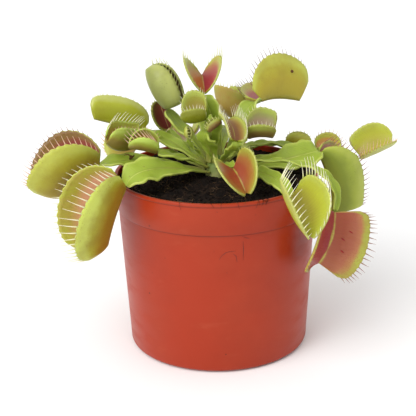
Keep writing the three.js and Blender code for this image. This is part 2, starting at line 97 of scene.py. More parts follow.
def makeStrand(sides, rings):
    # a straight closed strand of unit radius from z 0 to 1, copied for teeth, fibres and marks
    bm = bmesh.new()
    bmesh.ops.create_circle(bm, segments=sides, radius=1)
    edges = bm.edges[:]
    bmesh.ops.contextual_create(bm, geom=edges)
    for ring in range(rings):
        grown = bmesh.ops.extrude_edge_only(bm, edges=edges)["geom"]
        newVerts = [g for g in grown if isinstance(g, bmesh.types.BMVert)]
        edges = [g for g in grown if isinstance(g, bmesh.types.BMEdge)]
        edges = [e for e in edges if all(v in newVerts for v in e.verts)]
        bmesh.ops.translate(bm, vec=(0, 0, 1 / rings), verts=newVerts)
    bmesh.ops.contextual_create(bm, geom=edges)
    uvLayer = bm.loops.layers.uv.new("sheet")
    for face in bm.faces:
        for loop in face.loops:
            loop[uvLayer].uv = (loop.vert.co.z, 0.5)
    bmesh.ops.recalc_face_normals(bm, faces=bm.faces)
    mesh = bpy.data.meshes.new("strand")
    bm.to_mesh(mesh)
    bm.free()
    return mesh


def stampStrand(bm, strand, path, radius, wide=1.0):
    # adds a copy of the strand, bent along path(z) and thinned by radius(z)
    before = len(bm.verts)
    bm.from_mesh(strand)
    bm.verts.ensure_lookup_table()
    reach = path(1) - path(0)
    side = reach.orthogonal().normalized()
    for vert in bm.verts[before:]:
        x, y, z = vert.co
        way = (path(min(1, z + 0.05)) - path(max(0, z - 0.05))).normalized()
        across = (side - way * side.dot(way)).normalized()
        up = way.cross(across)
        vert.co = path(z) + (across * x * wide + up * y) * radius(z)


def smoothstep(x, low, high):
    x = min(1, max(0, (x - low) / (high - low)))
    return x * x * (3 - 2 * x)


def mix(a, b, t):
    return a + (b - a) * t


# colours and shader nodes

def colour(code):
    # hex sRGB to the linear colour that the shader takes
    parts = [int(code[i:i + 2], 16) / 255 for i in (0, 2, 4)]
    return [c / 12.92 if c < 0.04 else ((c + 0.055) / 1.055) ** 2.4 for c in parts] + [1]


def setInput(tree, node, key, value):
    # value is a socket to link, a colour's hex code, or plain numbers
    if isinstance(value, bpy.types.NodeSocket):
        tree.links.new(value, node.inputs[key])
    else:
        node.inputs[key].default_value = colour(value) if isinstance(value, str) else value


def addNode(tree, kind, values=None, **settings):
    node = tree.nodes.new(kind)
    for key, value in settings.items():
        setattr(node, key, value)
    for key, value in (values or {}).items():
        setInput(tree, node, key, value)
    return node


def addMath(tree, operation, a, b=0.0):
    return addNode(tree, "ShaderNodeMath", {0: a, 1: b}, operation=operation).outputs[0]


def addMix(tree, factor, a, b):
    return addNode(tree, "ShaderNodeMix", {0: factor, 6: a, 7: b}, data_type="RGBA").outputs[2]


def addRamp(tree, factor, stops):
    node = addNode(tree, "ShaderNodeValToRGB", {0: factor})
    ramp = node.color_ramp
    while len(ramp.elements) < len(stops):
        ramp.elements.new(0.5)
    for element, (place, code) in zip(ramp.elements, stops):
        element.position = place
        element.color = colour(code)
    return node.outputs[0]


def addRange(tree, value, low, high, toLow=0.0, toHigh=1.0):
    values = {0: value, 1: low, 2: high, 3: toLow, 4: toHigh}
    return addNode(tree, "ShaderNodeMapRange", values, interpolation_type="SMOOTHSTEP").outputs[0]


def addNoise(tree, scale, detail=2.0, roughness=0.5, place=None):
    # noise in the piece's own space, which is in metres
    if place is None:
        place = addNode(tree, "ShaderNodeTexCoord").outputs["Object"]
    values = {"Vector": place, "Scale": scale, "Detail": detail, "Roughness": roughness}
    return addNode(tree, "ShaderNodeTexNoise", values).outputs[0]


def newGroup(name, inputs, outputs):
    group = bpy.data.node_groups.new(name, "ShaderNodeTree")
    for way, names in (("INPUT", inputs), ("OUTPUT", outputs)):
        for socketName in names:
            kind = "NodeSocketColor" if socketName in ("Color", "Dark", "Speck") else "NodeSocketFloat"
            group.interface.new_socket(name=socketName, in_out=way, socket_type=kind)
    return group, group.nodes.new("NodeGroupInput"), group.nodes.new("NodeGroupOutput")


tissue = dict(
    wobbleScale=260, patchFrom=0.42, patchTo=0.7, veinWander=180, veinFrom=0.55,
    speckClusters=90, clusterFrom=0.45, clusterTo=0.62)


def sheetGroup():
    # where a point lies on a leaf or lobe: along it, from the midrib to the edge, and on which side
    group, start, end = newGroup("sheetPlace", ["Wobble"], ["Along", "Rim", "Side"])
    uv = addNode(group, "ShaderNodeUVMap", uv_map="sheet")
    split = addNode(group, "ShaderNodeSeparateXYZ", {0: uv.outputs[0]})
    rim = addMath(group, "SUBTRACT", split.outputs[1], 0.5)
    rim = addMath(group, "MULTIPLY", addMath(group, "ABSOLUTE", rim), 2.0)
    shift = addMath(group, "SUBTRACT", addNoise(group, tissue["wobbleScale"], 3), 0.5)
    shift = addMath(group, "MULTIPLY", shift, start.outputs["Wobble"])
    setInput(group, end, "Along", split.outputs[0])
    setInput(group, end, "Rim", addMath(group, "ADD", rim, shift))
    setInput(group, end, "Side", addMath(group, "GREATER_THAN", split.outputs[1], 0.5))
    return group


def mottleGroup():
    # soft patches of a second colour
    group, start, end = newGroup("mottle", ["Color", "Dark", "Scale", "Amount"], ["Color"])
    patches = addNoise(group, start.outputs["Scale"], 5)
    patches = addRange(group, patches, tissue["patchFrom"], tissue["patchTo"])
    amount = addMath(group, "MULTIPLY", patches, start.outputs["Amount"])
    setInput(group, end, "Color", addMix(group, amount, start.outputs["Color"], start.outputs["Dark"]))
    return group


def veinGroup():
    # fine wandering lines, Count of them as Across goes from 0 to 1
    group, start, end = newGroup("veins", ["Across", "Count", "Bend"], ["Line", "Height"])
    bend = addMath(group, "MULTIPLY", addNoise(group, tissue["veinWander"]), start.outputs["Bend"])
    across = addMath(group, "ADD", start.outputs["Across"], bend)
    turns = addMath(group, "MULTIPLY", across, start.outputs["Count"])
    wave = addMath(group, "SINE", addMath(group, "MULTIPLY", turns, 2 * math.pi))
    setInput(group, end, "Line", addRange(group, wave, tissue["veinFrom"], 1.0))
    setInput(group, end, "Height", wave)
    return group


def speckGroup():
    # small marks scattered in clusters
    group, start, end = newGroup("specks", ["Color", "Speck", "Scale", "Size", "Amount"], ["Color"])
    place = addNode(group, "ShaderNodeTexCoord").outputs["Object"]
    cells = addNode(group, "ShaderNodeTexVoronoi",
                    {"Vector": place, "Scale": start.outputs["Scale"], "Randomness": 1})
    near = addMath(group, "LESS_THAN", cells.outputs["Distance"], start.outputs["Size"])
    clusters = addNoise(group, tissue["speckClusters"])
    clusters = addRange(group, clusters, tissue["clusterFrom"], tissue["clusterTo"])
    mask = addMath(group, "MULTIPLY", addMath(group, "MULTIPLY", near, clusters), start.outputs["Amount"])
    setInput(group, end, "Color", addMix(group, mask, start.outputs["Color"], start.outputs["Speck"]))
    return group


groups = dict(place=sheetGroup(), mottle=mottleGroup(), veins=veinGroup(), specks=speckGroup())


def addGroup(tree, name, **values):
    return addNode(tree, "ShaderNodeGroup", values, node_tree=groups[name]).outputs


def newMaterial(name, **values):
    material = bpy.data.materials.new(name)
    material.use_nodes = True
    tree = material.node_tree
    shader = tree.nodes["Principled BSDF"]
    for key, value in values.items():
        setInput(tree, shader, key.replace("_", " "), value)
    return material, tree, shader


def addBump(tree, shader, height, strength, distance):
    bump = addNode(tree, "ShaderNodeBump", {"Height": height, "Strength": strength, "Distance": distance})
    setInput(tree, shader, "Normal", bump.outputs[0])


def livingTissue(name, roughness, **values):
    # waxy plant skin that lets a little light through
    return newMaterial(
        name, Roughness=roughness, IOR=1.42, Specular_IOR_Level=0.35, Subsurface_Weight=0.25,
        Subsurface_Radius=(0.9, 1.0, 0.3), Subsurface_Scale=0.0012, Coat_Weight=0.06,
        Coat_Roughness=0.35, **values)


# looks of the traps

lobeLooks = {
    # outside of a lobe: keel line, belly, shoulder, margin and the darker patches
    "lime": "b0b040 9b9e25 a9ad33 b6ba64 84801f",
    "ochre": "aab048 94771d a3a12f bcc65a 7d601a",
    "olive": "9a9240 a8992f a9a336 b4b84e 86702a",
    "meadow": "8a9638 7f8d2c 9aa63a a9b24c 6c7a22",
    "tan": "b89e54 c4a25a b8a450 aca84c b0743e",
    "grey": "94986a 8f9650 9ca258 a8ad62 70703c",
    "brown": "7d7a35 7c5a38 86763a 98a045 6d3a30",
    "umber": "a09a50 8c7c36 98a43c b0c458 74542a",
    "moss": "7f8420 7c8014 8e9226 a3a84a 6a6a16",
}
insideLooks = {
    # inside of a lobe: midrib, flesh near it, flesh, band before the edge, and margin
    "lime": "b3ab48 a39a38 b2b63c b7bd45 bcc45a",
    "blush": "a9a24c b9703c b97c52 ada24a a8b44a",
    "tan": "aaa448 b0805a c2906c a39a3a a5a83a",
    "red": "b0a84c 964428 a5743a a6a040 aab44a",
    "crimson": "a8903c 93303a a34c46 b09a50 b0b650",
    "amber": "a0803c b07038 a48e3a 9ca23e a9b448",
    "wine": "a0914a 6c3028 7c4632 7f7a38 8e963c",
    "rose": "b3aa50 9c4e36 a9644a b57852 a9ad48",
    "peach": "b5ae54 b8804a c09a4e bac856 c4d262",
    "mauve": "9a9450 856452 8d7a58 8c9050 a0ae4c",
    "plum": "a0914a 7d3028 7d3028 843a28 80622e",
    # the next look is a dark red darkened further by painted shade, for a far lobe that sits in shade
    "redWithPaintedShade": "a8963f 8e2c32 983a38 a05a40 a0963f",
    "brown": "96903c 7a4e2c 93742e 98923a a3ac48",
    "olive": "8a8a34 86742a 8e8430 98983a aab455",
}
toothLooks = {
    # root and tip
    "cream": "c3ca7a efe9cc",
    "pink": "bda860 d6a798",
    "purple": "a3924e 824650",
    "green": "a9b350 c3c47c",
    "dark": "8e7c3e 644046",
}

# the same table as in the part's source, and each trap's look: outside, inside and teeth.
# around, rise and tilt are degrees, end is where the blade ends, and far means the lobe at -across
leaves = [
    dict(name="upper_left", around=179, tier=1, rise=40, end=(-32, 12, 93.9), width=8.5, tilt=-35,
         along=(-0.9, -0.3, 0.33), mouth=(0.15, 0.49, 0.86), length=22.5, depth=12.4, flare=1.21,
         ends=(0.39, 0.65), fold=(70, 100), arch=-0.1, teeth=14, tooth=1.4, slim=0.7,
         look="lime lime green"),
    dict(name="far_left", around=192, tier=0, rise=14, end=(-50.2, -10, 84.5), width=8, tilt=-30, droop=0.18,
         along=(-0.79, -0.09, -0.61), mouth=(-0.61, 0, 0.79), length=20.9, depth=25.4, flare=1.5,
         ends=(0.33, 0.72), fold=(31, 74), arch=1.4, teeth=15, tooth=4.6, farTooth=2.6, slim=0.8,
         farInside="plum", look="olive wine pink", farToothLook="purple"),
    dict(name="low_left", around=226, tier=0, rise=20, end=(-37.4, -30, 82), width=14, tilt=-26,
         along=(-0.33, -0.07, -0.94), mouth=(-0.85, -0.42, 0.32), length=25.8, depth=24.8, flare=1.46,
         ends=(0.45, 0.57), fold=(42, 77), arch=0.7, teeth=15, tooth=9, farTooth=4, slim=0.85,
         look="ochre tan cream"),
    dict(name="inner_left", around=158, tier=0, rise=26, end=(-34.1, 1, 89.8), width=5,
         along=(-0.68, -0.67, 0.3), mouth=(0.37, 0.04, 0.93), length=17.7, depth=12.9, flare=1,
         ends=(0.78, 0.44), fold=(49, 96), arch=-2.8, teeth=10, tooth=1, farTooth=5, farAim=(0.5, 0, 0.5),
         slim=0.8, look="umber peach pink", farToothLook="cream"),
    dict(name="small_left", around=213, tier=1, rise=35, end=(-24.8, -13, 90.8), width=5,
         along=(-0.97, -0.1, 0.24), mouth=(0.26, -0.26, 0.93), length=11.4, depth=9.5, flare=1.07,
         ends=(0.55, 0.25), fold=(45, 91), arch=0.2, teeth=8, tooth=5, farTooth=1.5, aim=(-1.6, 0, 0.6),
         slim=0.8, look="umber brown pink"),
    dict(name="closed_top", around=156, tier=2, rise=60, end=(-21.5, 9, 103.9), width=8.5,
         along=(-0.43, 0.13, 0.89), mouth=(0.77, -0.46, 0.44), length=18.4, depth=17, flare=1.08,
         ends=(0.6, 0.3), fold=(18, 149), arch=-1.5, teeth=11, tooth=4, bias=-0.6, aim=(-0.8, 0, 0.8),
         farAim=(-0.8, 0, 0.8), slim=0.5, look="grey wine green"),
    dict(name="dark_small", around=147, tier=1, rise=35, end=(-21, 20.5, 91.5), width=5,
         along=(-0.31, 0.32, 0.89), mouth=(-0.13, -0.95, 0.29), length=12, depth=8, flare=1.15,
         ends=(0.3, 0.3), fold=(35, 82), arch=0.5, teeth=7, tooth=3, look="brown wine green"),
    dict(name="upright", around=74, tier=2, rise=80, lift=0.5, end=(-4.5, 4, 111.5), width=8.5,
         along=(-0.1, 0.88, 0.46), mouth=(0, -0.46, 0.88), length=12, depth=15.5, flare=1.2,
         ends=(0.45, 0.35), fold=(50, 68), arch=1, teeth=9, tooth=5.5, slim=0.5, farInside="crimson",
         look="lime amber green"),
    dict(name="top_right", around=30, tier=2, rise=60, end=(19.6, 9, 107.3), width=8.5, tilt=45, droop=0.27,
         along=(0.84, 0.52, -0.13), mouth=(-0.3, 0.67, 0.68), length=20.3, depth=19.8, flare=1.49,
         ends=(0.35, 0.57), fold=(44, 68), arch=1.5, teeth=15, tooth=4.5, farTooth=4.5, bias=0.35, slim=0.55,
         look="olive crimson dark"),
    dict(name="back_middle", around=112, tier=1, rise=60, end=(2.9, 36.5, 95.4), width=11, droop=0.3,
         along=(0.76, -0.65, -0.08), mouth=(0.21, 0.13, 0.97), length=10.5, depth=15.7, flare=1.75,
         ends=(0.8, 0.65), fold=(42, 85), arch=-1.2, teeth=10, tooth=2.6, slim=0.6, look="tan red green"),
    dict(name="middle_left", around=226, tier=2, rise=78, end=(-3.3, -7, 104), width=9, tilt=25,
         along=(-0.98, 0.07, -0.16), mouth=(-0.17, -0.24, 0.95), length=8.2, depth=13.9, flare=1.32,
         ends=(0.67, 0.4), fold=(34, 73), arch=-0.5, teeth=9, tooth=2.2, slim=0.6, look="moss olive cream"),
    dict(name="middle", around=300, tier=2, rise=60, end=(8.1, -21, 97.4), width=6, along=(-0.3, 0.83, 0.47),
         mouth=(0.49, -0.29, 0.82), length=13, depth=6.4, flare=1.11, ends=(0.73, 0.69), fold=(11, 48),
         arch=1.8, teeth=12, tooth=4, farTooth=4.5, bias=-0.5, farAim=(-0.8, 0, 0.7), slim=0.6,
         look="lime brown cream"),
    dict(name="front", around=280, tier=1, rise=25, end=(6.6, -22, 86.8), width=5,
         along=(0.35, -0.82, -0.46), mouth=(-0.12, -0.52, 0.84), length=14.3, depth=13.1, flare=1.38,
         ends=(0.67, 0.21), fold=(37, 68), arch=2.5, teeth=12, tooth=2.2, bias=0.5, slim=0.7,
         look="lime red green"),
    dict(name="middle_right", around=335, tier=2, rise=46, end=(13.6, -4, 94.2), width=7, tilt=40,
         along=(0.95, -0.1, 0.05), mouth=(0.05, -0.2, 0.98), length=9.6, depth=13, flare=1.45,
         ends=(0.35, 0.85), fold=(30, 68), arch=1, teeth=9, tooth=2, slim=0.7, look="brown mauve cream"),
    dict(name="front_right", around=312, tier=0, rise=25, end=(29.8, -38, 79.6), width=7, tilt=30,
         along=(0.3, -0.79, -0.54), mouth=(0.2, -0.5, 0.84), length=20, depth=17, flare=1.3,
         ends=(0.6, 0.15), fold=(42, 76), arch=1, teeth=13, tooth=7, farTooth=7, bias=0.55,
         aim=(-0.2, 0, 1.2), farAim=(0.7, 0, 1), slim=0.85, look="lime lime cream"),
    dict(name="right", around=345, tier=1, rise=0, lift=0.5, end=(44.8, 0, 86.3), width=15, tilt=34,
         droop=0.04, along=(0.22, 0.27, -0.94), mouth=(0.8, 0.5, 0.33), length=32, depth=16.4, flare=1.13,
         ends=(0.26, 0.87), fold=(44, 88), arch=1.8, teeth=15, tooth=4.8, farTooth=4.8, slim=0.7,
         look="meadow rose purple"),
    dict(name="low_right", around=313, tier=1, rise=24, lift=0.65, end=(50.5, -20, 66.4), width=4,
         droop=0.42, along=(-0.3, -0.17, -0.94), mouth=(0.49, -0.87, 0), length=23, depth=16.1, flare=1.3,
         ends=(0.87, 0.82), fold=(18, 48), arch=3.3, teeth=14, tooth=4.6, farTooth=1.2, slim=0.8,
         # its far lobe's inside is partly real dark red and partly painted shade
         farInside="redWithPaintedShade", look="tan rose purple"),
    dict(name="far_right", around=18, tier=0, rise=22, end=(66, 29, 74.6), width=5, droop=0.06,
         along=(0.917, 0.13, 0.37), mouth=(-0.26, -0.44, 0.86), length=16, depth=12, flare=1.2,
         ends=(0.75, 0.35), fold=(22, 62), arch=0.9, teeth=12, tooth=0.6, farTooth=4.5, bias=0.7,
         farAim=(0.4, 0, 0.9), slim=0.8, look="lime lime pink"),
    dict(name="small_right", around=47, tier=1, rise=36, end=(45.3, 26, 79.9), width=4.5,
         along=(0.99, 0.07, -0.09), mouth=(0.11, -0.44, 0.89), length=10.3, depth=7.5, flare=1.2,
         ends=(0.54, 0.26), fold=(21, 76), arch=0.8, teeth=8, tooth=3.4, slim=0.6, look="lime peach pink"),
    dict(name="closed_right", around=58, tier=0, rise=30, end=(32, 32, 80.2), width=5,
         along=(0.98, -0.2, -0.04), mouth=(0.03, -0.02, 1), length=10.3, depth=8.1, flare=1.1,
         ends=(0.38, 0.38), fold=(20, 148), arch=0, teeth=7, tooth=1.6, look="olive wine green"),
    dict(name="back_right", around=80, tier=1, rise=30, end=(8, 46, 84), width=7, along=(0.2, 0.8, -0.5),
         mouth=(0.1, 0.5, 0.86), length=16, depth=14, flare=1.3, ends=(0.45, 0.45), fold=(35, 75), arch=1,
         teeth=10, tooth=4, look="lime blush cream"),
    dict(name="back", around=92, tier=0, rise=18, end=(-12, 44, 81), width=9, along=(-0.25, 0.78, -0.55),
         mouth=(-0.1, 0.55, 0.83), length=20, depth=17, flare=1.35, ends=(0.5, 0.45), fold=(38, 78), arch=1,
         teeth=12, tooth=5, look="ochre red cream"),
    dict(name="back_left", around=124, tier=0, rise=20, end=(-34, 40, 81), width=8,
         along=(-0.45, 0.5, -0.72), mouth=(-0.55, 0.5, 0.66), length=18, depth=15, flare=1.3,
         ends=(0.45, 0.45), fold=(35, 70), arch=1, teeth=10, tooth=4, look="olive rose pink"),
    dict(name="centre", around=266, tier=2, rise=72, end=(-3.5, -13, 99.5), width=9, along=(0.8, 0.1, 0.6),
         mouth=(-0.3, -0.2, 0.9), length=6, depth=4.5, flare=1.15, ends=(0.4, 0.35), fold=(15, 140), arch=0,
         teeth=5, tooth=1.6, look="brown brown green"),
    dict(name="bud", around=192, tier=2, rise=62, end=(-11.7, -6, 94.8), width=1.8, along=(-0.07, 0, 1),
         mouth=(0.2, -0.97, 0), length=4.5, depth=4, flare=1.1, ends=(0.4, 0.3), fold=(10, 145), arch=0,
         teeth=4, tooth=1.2, look="lime lime green"),
]

crown = dict(
    profile=[(0, 66.4), (4.4, 66.4), (5.4, 69), (5, 75), (4.4, 79), (3.8, 82.6), (2.4, 85), (0, 85.8)],
    tiers=(78.9, 81.1, 83.4), baseWidth=2.4, baseThickness=1.5, gap=0.3, segments=40)

blade = dict(
    thickness=0.9, gutter=0.16, neckWidth=2, widestAt=0.68, neckSharpness=2.2, step=4.2, leastSteps=7,
    serration=0.07, ragged=0.05, raggedStep=3.1, wave=0.7, waveStep=2.3, waveShift=1.9, edgeCurve=1.6,
    groove=0.22, grooveWidth=0.45, fineWave=0.3, fineStep=1.4, columnsPerStep=7, rows=14)

trap = dict(
    thickness=0.8, hingeGap=1.1, corner=0.25, belly=0.07, dent=0.25, scallop=0.0105, scallopFrom=0.86,
    columnsPerTooth=6, rows=30, moreTeeth=1.4, toothFrom=0.97, toothLean=0.35, shutLean=1.05,
    shutFold=110, toothFan=0.55, toothJitter=0.12, toothTaper=0.45, toothSpread=(0.88, 1.08),
    toothLeast=0.6, toothSunk=0.4, toothCurl=0.18, toothRadius=0.36, toothPoint=0.16, toothOval=1.2)


def crownRadius(height):
    for (r0, z0), (r1, z1) in zip(crown["profile"][1:], crown["profile"][2:]):
        if z1 >= height:
            return mix(r0, r1, (height - z0) / (z1 - z0))


def trapFrame(leaf):
    along = Vector(leaf["along"]).normalized()
    across = Vector(leaf["mouth"]).cross(along).normalized()
    return along, across, along.cross(across)


def bladePath(leaf):
    # the four points of the curve that the blade follows, from the crown to its trap
    around, rise = math.radians(leaf["around"]), math.radians(leaf["rise"])
    height = crown["tiers"][leaf["tier"]]
    radius = crownRadius(height) + 1.5 * crown["gap"] + 0.5 * crown["baseThickness"] * math.sin(rise)
    outward = Vector((math.cos(around), math.sin(around), 0))
    start = outward * radius + Vector((0, 0, height))
    end = Vector(leaf["end"])
    span = (end - start).length
    first = outward * math.cos(rise) + Vector((0, 0, math.sin(rise)))
    leave = start + first * leaf.get("lift", 0.4) * span
    arrive = end - trapFrame(leaf)[0] * leaf.get("droop", 0.25) * span
    return start, leave, arrive, end


def curvePoint(points, t):
    a, b, c, d = points
    s = 1 - t
    return a * s ** 3 + b * 3 * s * s * t + c * 3 * s * t * t + d * t ** 3


def curveWay(points, t):
    a, b, c, d = points
    s = 1 - t
    return ((b - a) * s * s + (c - b) * 2 * s * t + (d - c) * t * t).normalized()


def bladeHalfWidth(leaf, t):
    width, widest = leaf["width"], blade["widestAt"]
    if t < widest:
        swell = smoothstep(t / widest, 0.05, 1)
        return mix(min(crown["baseWidth"], width), width, swell) / 2
    fall = (t - widest) / (1 - widest)
    return mix(min(blade["neckWidth"], width), width, math.sqrt(1 - fall ** blade["neckSharpness"])) / 2


def bladeFrame(leaf, path, t):
    around = math.radians(leaf["around"])
    baseAcross = Vector((-math.sin(around), math.cos(around), 0))
    endAcross = trapFrame(leaf)[1]
    if endAcross.dot(baseAcross) < 0:
        endAcross = -endAcross
    way = curveWay(path, t)
    across = baseAcross.lerp(endAcross, t * t)
    across = (across - way * across.dot(way)).normalized()
    across.rotate(Quaternion(way, math.radians(leaf.get("tilt", 0)) * math.sin(math.pi * t)))
    return way, across, way.cross(across).normalized()


def makeBlade(leaf, material):
    path = bladePath(leaf)
    length = sum((curvePoint(path, (i + 1) / 40) - curvePoint(path, i / 40)).length for i in range(40))
    steps = max(blade["leastSteps"], round(length / blade["step"]))
    bm = makeGrid(steps * blade["columnsPerStep"], blade["rows"])
    seed = leaf["around"]
    for vert in bm.verts:
        t, s = vert.co.x / 2 + 0.5, vert.co.y
        i = t * steps
        way, across, up = bladeFrame(leaf, path, t)
        inner = smoothstep(min(t, 1 - t), 0, 1.5 / steps)
        ragged = 1 - blade["serration"] * math.cos(math.pi * i) * inner
        ragged += blade["ragged"] * inner * noise.noise(Vector((blade["raggedStep"] * i, seed, s)))
        half = bladeHalfWidth(leaf, t) * ragged
        swing = blade["wave"] * math.sin(math.pi * t)
        shift = 0 if s < 0 else blade["waveShift"]
        edge = blade["gutter"] * half + swing * math.sin(blade["waveStep"] * i + shift)
        height = edge * abs(s) ** blade["edgeCurve"]
        height -= blade["groove"] * math.exp(-(s * half / blade["grooveWidth"]) ** 2)
        fine = noise.noise(Vector((blade["fineStep"] * i, 2 * s, seed)))
        height += blade["fineWave"] * inner * s * s * fine
        vert.co = curvePoint(path, t) + across * s * half + up * height
    piece = makePiece(leaf["name"] + "_green", bm, [material], leaf["name"] + "_blade")
    addWall(piece, blade["thickness"])


def lobePoint(leaf, side, t, r):
    # t from -1 at the blade to 1 at the tip, r from 0 on the midrib to 1 at the teeth
    along = math.sin(t * math.pi / 2)
    flat = mix(leaf["ends"][0], leaf["ends"][1], (along + 1) / 2)
    corner = 1 - trap["corner"] * t ** 12
    depth = leaf["depth"] * (flat * corner + (1 - flat) * math.cos(t * math.pi / 2))
    first = math.radians(leaf["fold"][0])
    turn = math.radians(leaf["fold"][1]) - first
    slope = first + turn * r
    x = along * leaf["length"] / 2 * (1 + (leaf["flare"] - 1) * r)
    y = depth * (math.sin(slope) - math.sin(first)) / turn
    z = depth * (math.cos(first) - math.cos(slope)) / turn
    swell = trap["belly"] * depth * math.sin(math.pi * r) * math.cos(t * math.pi / 2)
    y += swell * math.sin(slope)
    z -= swell * math.cos(slope) + leaf["arch"] * along * along
    return Vector((x, side * y, z))


def trapMatrix(leaf):
    along, across, up = trapFrame(leaf)
    hinge = Vector(leaf["end"]) + along * (trap["hingeGap"] + leaf["length"] / 2) + up * leaf["arch"]
    place = Matrix((along, across, up)).transposed().to_4x4()
    place.translation = hinge
    return place


def makeLobes(leaf, inside, outside):
    place = trapMatrix(leaf)
    bm = makeGrid(leaf["teeth"] * trap["columnsPerTooth"], trap["rows"])
    seed = leaf["around"]
    for vert in bm.verts:
        t, r = vert.co.x, abs(vert.co.y)
        side = 1 if vert.co.y >= 0 else -1
        comb = math.cos(math.pi * leaf["teeth"] * (t + 1)) * (1 - t ** 8)
        edge = smoothstep(r, trap["scallopFrom"], 1)
        point = lobePoint(leaf, side, t, r - trap["scallop"] * edge * comb)
        dent = noise.noise(Vector((2.2 * t, 1.6 * r * side, seed)))
        point.z += dent * trap["dent"] * math.sin(math.pi * min(1, r))
        vert.co = place @ point
    piece = makePiece(leaf["name"] + "_lobes", bm, [inside, outside], leaf["name"] + "_trap")
    wall = addWall(piece, trap["thickness"])
    wall.material_offset = 1
    wall.material_offset_rim = 1


def makeTeeth(leaf, materials, strand):
    place = trapMatrix(leaf)
    spin = place.to_3x3()
    bm = bmesh.new()
    slope = math.radians(leaf["fold"][1])
    lean = trap["shutLean"] if leaf["fold"][1] > trap["shutFold"] else trap["toothLean"]
    rule = random.Random(leaf["around"])
    count = round(leaf["teeth"] * trap["moreTeeth"])
    jitter = trap["toothJitter"]
    for side in (-1, 1):
        longest = leaf.get("farTooth", leaf["tooth"]) if side < 0 else leaf["tooth"]
        aim = Vector(leaf.get("farAim" if side < 0 else "aim", (0, 0, 0)))
        for k in range(count):
            t = -1 + 2 * (k + 0.5) / count
            root = place @ lobePoint(leaf, side, t, trap["toothFrom"])
            fan = trap["toothFan"] * math.sin(t * math.pi / 2) + rule.uniform(-jitter, jitter)
            reach = Vector((fan, side * math.cos(slope), math.sin(slope) + lean)).normalized()
            reach = (spin @ reach + aim).normalized()
            length = longest * (1 - trap["toothTaper"] * t * t) * (1 - leaf.get("bias", 0) * t)
            length = max(trap["toothLeast"], length * rule.uniform(*trap["toothSpread"])) + trap["toothSunk"]
            curl = spin @ Vector((rule.uniform(-0.3, 0.3), -side, 0.2)) * trap["toothCurl"] * length
            thick = trap["toothRadius"] * min(1, 0.55 + length / 12) * leaf.get("slim", 1)
            point = trap["toothPoint"]
            faces = len(bm.faces)
            stampStrand(bm, strand, lambda z: root + reach * length * z + curl * z * z,
                        lambda z: thick * (point + (1 - point) * (1 - z) ** 1.5), wide=trap["toothOval"])
            bm.faces.ensure_lookup_table()
            for face in bm.faces[faces:]:
                face.material_index = 0 if side > 0 else 1
    makePiece(leaf["name"] + "_teeth", bm, materials, leaf["name"] + "_trap")


# materials of the plant

bladeLook = dict(rib="8c9c34", green="92a536", edge="b6c25c", base="b0a860", dark="7a8c22", brown="82703a")


def bladeSkin():
    # green, paler at the midrib, the edges and the foot, with a brown streak beside the midrib
    look = bladeLook
    material, tree, shader = livingTissue("bladeSkin", roughness=0.42)
    along, rim, _ = addGroup(tree, "place", Wobble=0.10)
    body = addRamp(tree, rim, [(0.0, look["edge"]), (0.05, look["rib"]), (0.16, look["green"]),
                               (0.78, look["green"]), (0.98, look["edge"])])
    body = addMix(tree, addRange(tree, along, 0.0, 0.22, toLow=1, toHigh=0), body, look["base"])
    body = addGroup(tree, "mottle", Color=body, Dark=look["dark"], Scale=70, Amount=0.6)[0]
    streak = addMath(tree, "MULTIPLY", addRange(tree, rim, 0.03, 0.2, toLow=1, toHigh=0),
                     addRange(tree, along, 0.1, 0.75, toLow=0.55, toHigh=0))
    body = addMix(tree, streak, body, look["brown"])
    line, height = addGroup(tree, "veins", Across=rim, Count=9, Bend=0.12)
    body = addMix(tree, addMath(tree, "MULTIPLY", line, 0.16), body, look["edge"])
    body = addGroup(tree, "specks", Color=body, Speck=look["brown"], Scale=420, Size=0.16, Amount=0.5)[0]
    setInput(tree, shader, "Base Color", body)
    addBump(tree, shader, height, strength=0.3, distance=0.00010)
    return material


def lobeOutside(name):
    keel, belly, shoulder, margin, spot = lobeLooks[name].split()
    material, tree, shader = livingTissue("lobeOutside_" + name, roughness=0.40)
    along, rim, _ = addGroup(tree, "place", Wobble=0.16)
    body = addRamp(tree, rim, [(0.0, keel), (0.12, belly), (0.45, belly), (0.70, shoulder), (0.84, margin)])
    body = addGroup(tree, "mottle", Color=body, Dark=spot, Scale=85, Amount=0.4)[0]
    body = addGroup(tree, "specks", Color=body, Speck=spot, Scale=900, Size=0.2, Amount=0.4)[0]
    setInput(tree, shader, "Base Color", body)
    ridges = addGroup(tree, "veins", Across=along, Count=21, Bend=0.16)["Height"]
    addBump(tree, shader, ridges, strength=0.12, distance=0.00008)
    return material


def fleshColour(tree, name, rim, fade):
    midrib, deep, flesh, band, margin = insideLooks[name].split()
    red = addRamp(tree, rim, [(0.0, midrib), (0.05, deep), (0.30, deep), (0.62, flesh), (0.78, band),
                              (0.88, margin)])
    pale = addRamp(tree, rim, [(0.0, midrib), (0.10, flesh), (0.60, band), (0.85, margin)])
    return addMix(tree, fade, red, pale)


def lobeInside(name, farName):
    # the flesh is deepest near the blade end of the midrib, and the two lobes may differ
    material, tree, shader = livingTissue("lobeInside_" + name + "_" + farName, roughness=0.36)
    along, rim, side = addGroup(tree, "place", Wobble=0.12)
    fade = addRange(tree, along, 0.45, 1.0, toHigh=0.75)
    body = fleshColour(tree, name, rim, fade)
    if farName != name:
        body = addMix(tree, side, fleshColour(tree, farName, rim, fade), body)
    deep = insideLooks[name].split()[1]
    body = addGroup(tree, "mottle", Color=body, Dark=deep, Scale=120, Amount=0.28)[0]
    line, height = addGroup(tree, "veins", Across=along, Count=24, Bend=0.12)
    body = addMix(tree, addMath(tree, "MULTIPLY", line, 0.08), body, deep)
    body = addGroup(tree, "specks", Color=body, Speck=deep, Scale=1500, Size=0.3, Amount=0.5)[0]
    setInput(tree, shader, "Base Color", body)
    addBump(tree, shader, height, strength=0.2, distance=0.00010)
    return material


